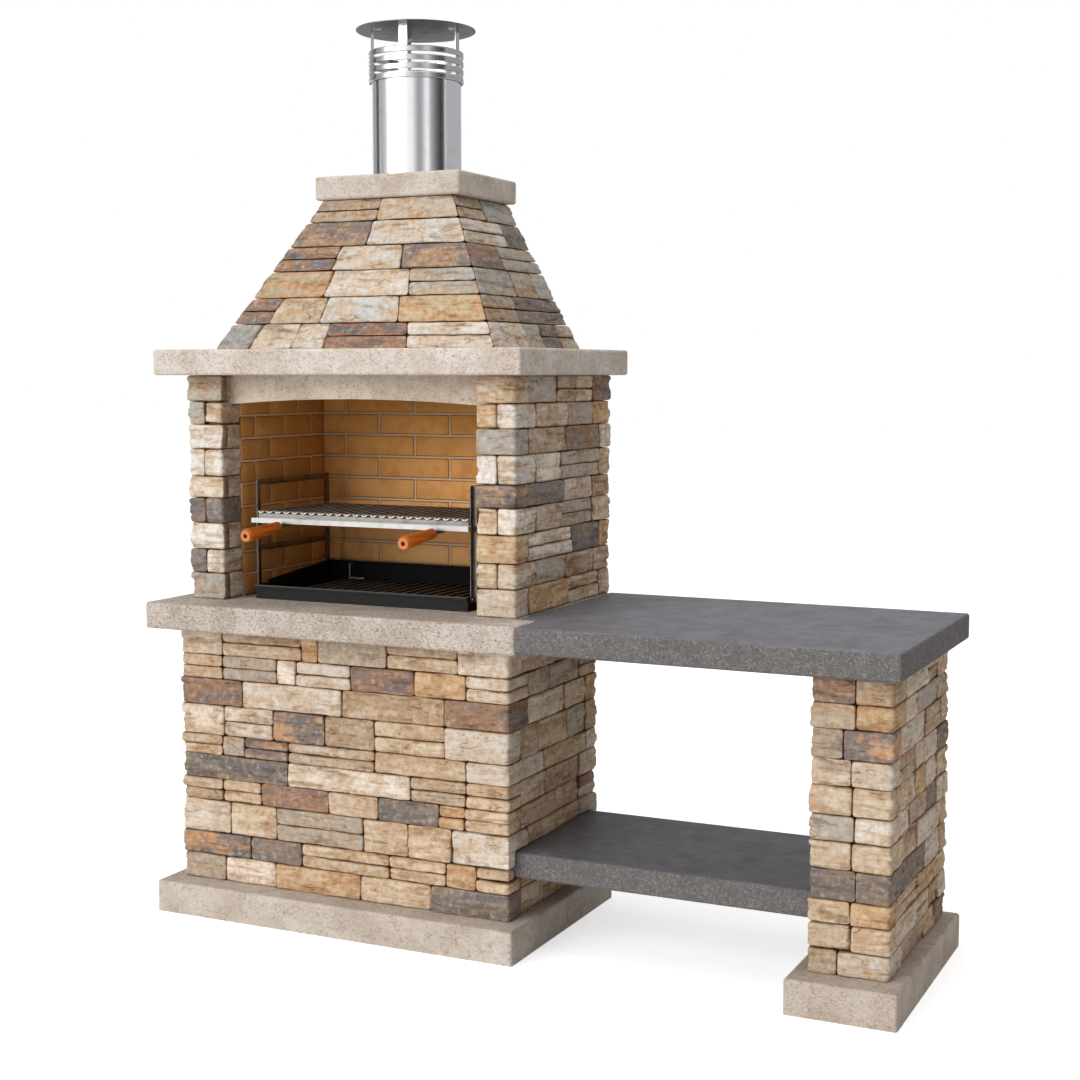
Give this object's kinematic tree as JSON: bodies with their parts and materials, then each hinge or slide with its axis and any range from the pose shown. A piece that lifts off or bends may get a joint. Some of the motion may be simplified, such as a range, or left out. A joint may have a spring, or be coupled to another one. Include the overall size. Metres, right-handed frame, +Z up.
{
  "type": "masonry barbecue",
  "caption": "Masonry barbecue with a stone-faced base, brick-lined hooded firebox, flue and slide-out cooking grate, and a dark side worktop with a shelf on a stone pillar.",
  "frame": {"origin": "centre of the underside of the main plinth, on the ground", "axes": "+Z up, +X to the side worktop, the firebox opens to -Y"},
  "size_m": [2.178, 0.782, 2.545],
  "materials": {
    "cast_stone": "light speckled cast stone, softly rounded edges",
    "dark_slab": "dark grey speckled cast stone, satin top",
    "facing_stone": "split-face stone in cream, ochre, rust and slate",
    "firebrick": "matt orange-tan firebrick",
    "mortar": "pale refractory mortar",
    "concrete": "plain cast concrete",
    "flue_steel": "polished stainless steel",
    "tray_black": "black heat-proof paint on sheet steel",
    "rack_steel": "dark oxidised steel",
    "ember_iron": "dull dark iron",
    "grate_steel": "bright steel",
    "grip_wood": "varnished turned wood"
  },
  "bodies": {
    "masonry": {"base_panel_back": "concrete", "base_panel_front": "concrete", "base_panel_left": "concrete", "base_panel_right": "concrete", "base_stones_back": "facing_stone", "base_stones_front": "facing_stone", "base_stones_left": "facing_stone", "base_stones_right": "facing_stone", "brick_mortar_back": "mortar", "brick_mortar_left": "mortar", "brick_mortar_right": "mortar", "cap_slab": "cast_stone", "cowl_disc": "flue_steel", "cowl_rings": "flue_steel", "cowl_rivets": "flue_steel", "cowl_straps": "flue_steel", "firebox_stones_back": "facing_stone", "firebox_stones_left": "facing_stone", "firebox_stones_right": "facing_stone", "firebox_wall_back": "concrete", "firebox_wall_left": "concrete", "firebox_wall_right": "concrete", "firebricks_back": "firebrick", "firebricks_left": "firebrick", "firebricks_right": "firebrick", "flue_pipe": "flue_steel", "hearth_slab": "cast_stone", "hood_shell": "concrete", "hood_stones_back": "facing_stone", "hood_stones_front": "facing_stone", "hood_stones_left": "facing_stone", "hood_stones_right": "facing_stone", "lintel": "cast_stone", "main_plinth": "cast_stone", "mantel_slab": "cast_stone", "pier_stones_left": "facing_stone", "pier_stones_right": "facing_stone", "pillar_core": "concrete", "pillar_plinth": "cast_stone", "pillar_stones_back": "facing_stone", "pillar_stones_front": "facing_stone", "pillar_stones_left": "facing_stone", "pillar_stones_right": "facing_stone", "side_shelf": "dark_slab", "side_worktop": "dark_slab", "worktop_dowels": "grate_steel"},
    "grill_set": {"charcoal_tray": "tray_black", "rack_left": "rack_steel", "rack_right": "rack_steel", "rack_bolts": "grate_steel"},
    "cooking_grate": {"grate_frame": "grate_steel", "grate_channels": "grate_steel", "drip_channel": "grate_steel", "handle_rods": "grate_steel", "grip_left": "grip_wood", "grip_right": "grip_wood"},
    "ember_grate": {"ember_bearers": "ember_iron", "ember_bars": "ember_iron", "ember_lug": "ember_iron"}
  },
  "joints": [
    {"name": "grill_set_slide", "type": "slide", "parent": "masonry", "child": "grill_set", "axis": [0, -1, 0], "range_m": [0, 0.18]},
    {"name": "grate_slide", "type": "slide", "parent": "grill_set", "child": "cooking_grate", "axis": [0, -1, 0], "range_m": [0, 0.3]},
    {"name": "ember_grate_lift", "type": "slide", "parent": "grill_set", "child": "ember_grate", "axis": [0, 0, 1], "range_m": [0, 0.12]}
  ]
}
